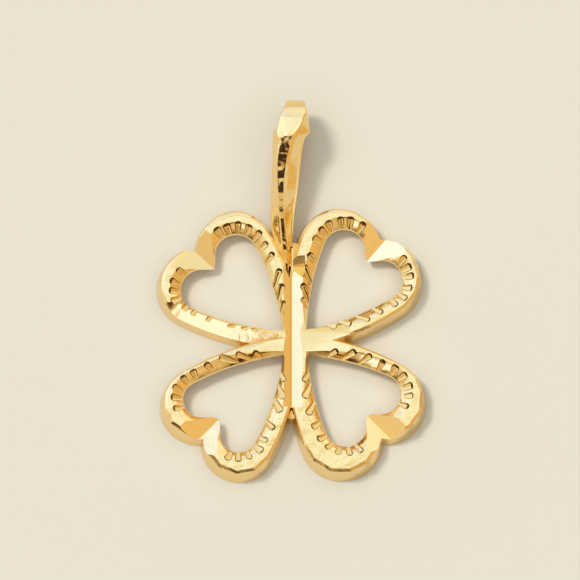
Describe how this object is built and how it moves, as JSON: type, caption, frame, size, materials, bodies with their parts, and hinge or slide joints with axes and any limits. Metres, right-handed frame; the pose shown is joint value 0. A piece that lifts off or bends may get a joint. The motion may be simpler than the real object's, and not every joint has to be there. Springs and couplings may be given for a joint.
{
  "type": "four leaf clover pendant",
  "caption": "Open heart-leaf clover charm in yellow gold with notched bevelled rims, faceted cuts and a fixed tapered fold-over bail, lying on its flat back.",
  "frame": {"origin": "centre of the clover's cross, on the flat back that it lies on", "axes": "+Z from the back to the face, +Y from the clover's centre to the bail, +X to the right seen from the face"},
  "size_m": [0.0136, 0.0193, 0.0034],
  "materials": {
    "gold": "polished yellow gold casting, mirror-bright where it is cut"
  },
  "bodies": {
    "root": {"clover_pendant": "gold"}
  },
  "joints": []
}
